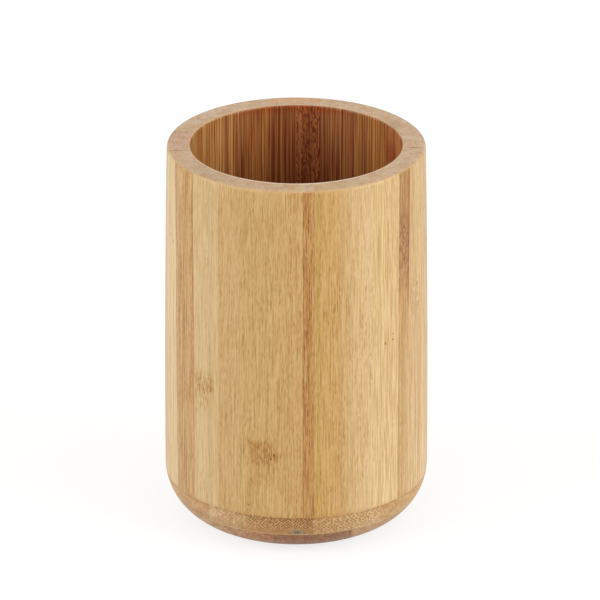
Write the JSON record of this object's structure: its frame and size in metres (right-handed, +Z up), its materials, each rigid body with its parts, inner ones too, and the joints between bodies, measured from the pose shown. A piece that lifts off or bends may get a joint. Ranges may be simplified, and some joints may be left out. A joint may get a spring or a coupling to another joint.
{
  "type": "bathroom tumbler",
  "caption": "Open bamboo tumbler: a turned wall of upright strips on a thick two-ply base board with a round bottom corner, to hold water or toothbrushes.",
  "frame": {"origin": "middle of the flat underside, on the cup's axis", "axes": "+Z up along the cup's axis, towards the open rim; -Y towards the front of the picture, +X to its right"},
  "size_m": [0.075, 0.075, 0.112],
  "materials": {
    "golden_bamboo": "turned, sanded and clear lacquered, satin, upright grain",
    "pale_bamboo": "turned, sanded and clear lacquered, satin, upright grain",
    "brown_bamboo": "turned, sanded and clear lacquered, satin, upright grain, steamed darker",
    "dark_bamboo": "turned, sanded and clear lacquered, satin, darkest strip",
    "base_light_bamboo": "turned, sanded and clear lacquered, satin, grain front to back",
    "base_brown_bamboo": "turned, sanded and clear lacquered, satin, grain front to back, darker"
  },
  "bodies": {
    "root": {"front_strip_1": "pale_bamboo", "front_strip_2": "brown_bamboo", "front_strip_3": "pale_bamboo", "front_strip_4": "golden_bamboo", "front_strip_5": "brown_bamboo", "front_strip_6": "golden_bamboo", "front_strip_7": "pale_bamboo", "front_strip_8": "dark_bamboo", "front_strip_9": "pale_bamboo", "left_strip": "golden_bamboo", "right_strip": "pale_bamboo", "back_strip_1": "pale_bamboo", "back_strip_2": "brown_bamboo", "back_strip_3": "golden_bamboo", "back_strip_4": "pale_bamboo", "back_strip_5": "brown_bamboo", "back_strip_6": "golden_bamboo", "back_strip_7": "brown_bamboo", "back_strip_8": "pale_bamboo", "back_centre_outer_ply": "brown_bamboo", "back_centre_inner_left": "pale_bamboo", "back_centre_inner_right": "brown_bamboo", "base_upper_strip_1": "base_light_bamboo", "base_upper_strip_2": "base_light_bamboo", "base_upper_strip_3": "base_brown_bamboo", "base_upper_strip_4": "base_light_bamboo", "base_upper_strip_5": "base_light_bamboo", "base_lower_strip_1": "base_light_bamboo", "base_lower_strip_2": "base_brown_bamboo", "base_lower_strip_3": "base_light_bamboo"}
  },
  "joints": []
}
